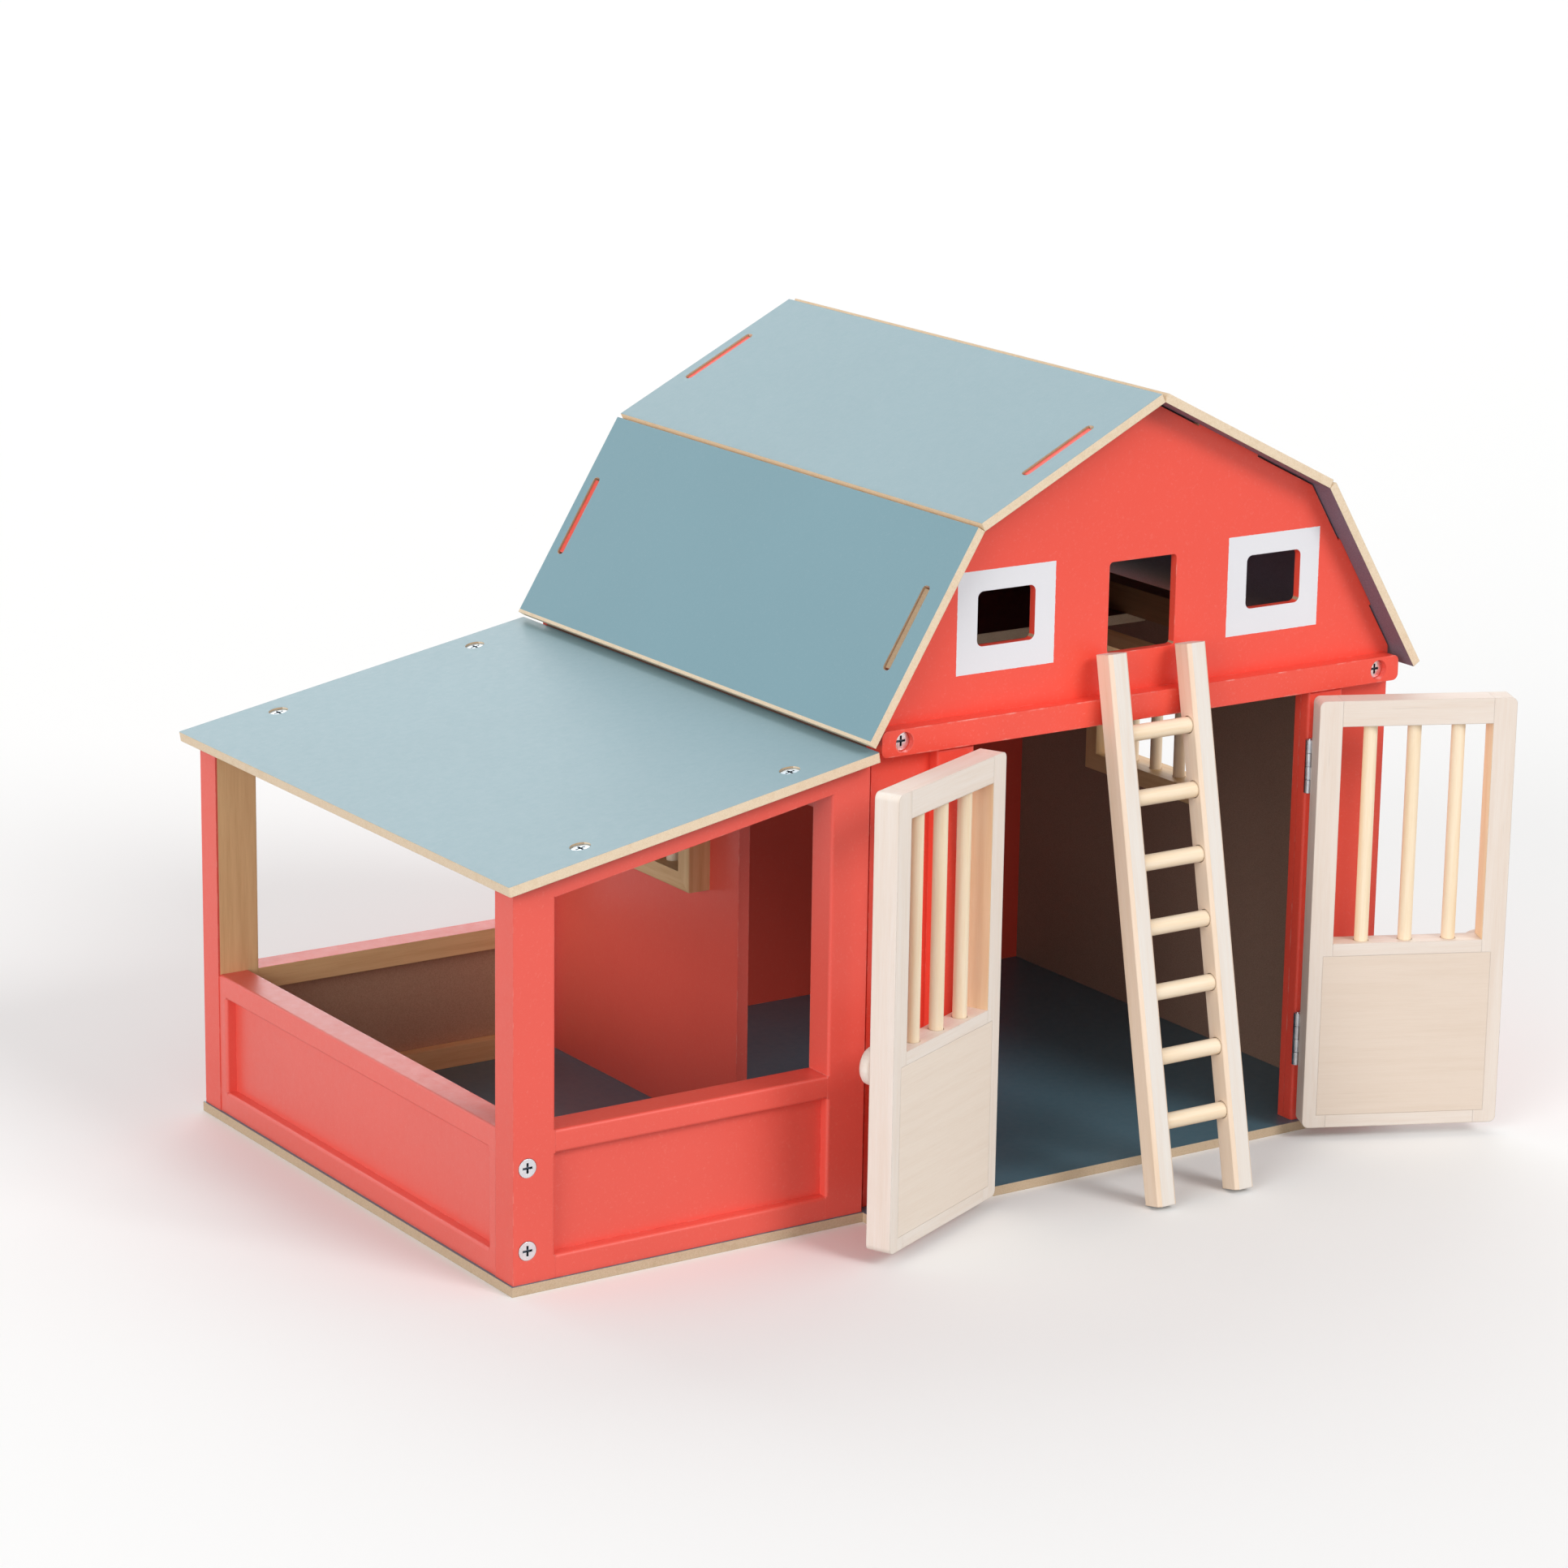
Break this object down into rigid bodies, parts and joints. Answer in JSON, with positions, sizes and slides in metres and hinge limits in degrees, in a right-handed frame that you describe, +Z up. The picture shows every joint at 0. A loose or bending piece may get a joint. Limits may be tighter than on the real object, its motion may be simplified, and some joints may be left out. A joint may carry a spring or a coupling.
{
  "type": "toy barn",
  "caption": "Wooden toy barn with a gambrel roof, barred swing-open doors, a half loft, barred side windows, an open lean-to stable and a leaning ladder.",
  "frame": {"origin": "centre of the barn's four walls on the underside of its base board", "axes": "+X right along the front as seen by someone facing the doors, +Y toward the back, +Z up"},
  "size_m": [0.5196, 0.3572, 0.3632],
  "materials": {
    "floor_paint": "satin black paint on fibreboard, raw tan edges",
    "front_paint": "satin red paint on fibreboard with white window surrounds",
    "back_paint": "satin red paint on fibreboard",
    "side_paint": "satin red paint outside, bare wood inside",
    "trim_paint": "satin red paint on solid wood",
    "roof_paint": "satin grey-blue paint on fibreboard, raw tan edges",
    "frame_paint": "satin red paint outside, bare wood inside",
    "panel_paint": "satin red paint outside, bare wood inside",
    "natural_wood": "clear-finished pine",
    "dowel_wood": "clear-finished birch dowel",
    "pale_wood": "whitewashed pine",
    "door_board": "whitewashed plywood",
    "knob_wood": "turned beech, clear finish",
    "steel": "zinc-plated steel"
  },
  "bodies": {
    "barn": {"barn_base": "floor_paint", "lean_to_base": "floor_paint", "loft_floor": "floor_paint", "front_wall": "front_paint", "back_wall": "back_paint", "left_wall": "side_paint", "right_wall": "side_paint", "front_beam": "trim_paint", "left_door_post": "trim_paint", "right_door_post": "trim_paint", "left_upper_roof": "roof_paint", "right_upper_roof": "roof_paint", "left_lower_roof": "roof_paint", "right_lower_roof": "roof_paint", "lean_to_roof": "roof_paint", "lean_to_front_frame": "frame_paint", "lean_to_back_frame": "frame_paint", "lean_to_side_frame": "frame_paint", "lean_to_front_panel": "panel_paint", "lean_to_back_panel": "panel_paint", "lean_to_side_panel": "panel_paint", "left_loft_rail": "natural_wood", "right_loft_rail": "natural_wood", "left_window_frame": "natural_wood", "right_window_frame": "natural_wood", "left_window_bars": "dowel_wood", "right_window_bars": "dowel_wood", "beam_screws": "steel", "lean_to_roof_screws": "steel", "lean_to_corner_screws": "steel", "left_post_hinge_leaves": "steel", "left_hinge_pins": "steel", "right_post_hinge_leaves": "steel", "right_hinge_pins": "steel"},
    "left_door": {"left_door_bars": "dowel_wood", "left_door_hinge_stile": "pale_wood", "left_door_free_stile": "pale_wood", "left_door_top_rail": "pale_wood", "left_door_middle_rail": "pale_wood", "left_door_bottom_rail": "pale_wood", "left_door_panel": "door_board", "left_door_knob": "knob_wood", "left_door_hinge_leaves": "steel"},
    "right_door": {"right_door_bars": "dowel_wood", "right_door_hinge_stile": "pale_wood", "right_door_free_stile": "pale_wood", "right_door_top_rail": "pale_wood", "right_door_middle_rail": "pale_wood", "right_door_bottom_rail": "pale_wood", "right_door_panel": "door_board", "right_door_knob": "knob_wood", "right_door_hinge_leaves": "steel"},
    "ladder": {"ladder_left_stile": "pale_wood", "ladder_right_stile": "pale_wood", "ladder_rungs": "dowel_wood"}
  },
  "joints": [
    {"name": "left_door_hinge", "type": "hinge", "parent": "barn", "child": "left_door", "pos_m": [-0.095, -0.1488, 0.1125], "axis": [0, 0, 1], "range_deg": [-15, 101]},
    {"name": "right_door_hinge", "type": "hinge", "parent": "barn", "child": "right_door", "pos_m": [0.095, -0.1488, 0.1125], "axis": [0, 0, 1], "range_deg": [-101.5, 19.5]},
    {"name": "ladder_away", "type": "slide", "parent": "barn", "child": "ladder", "axis": [0, -1, 0], "range_m": [0, 0.2]}
  ]
}
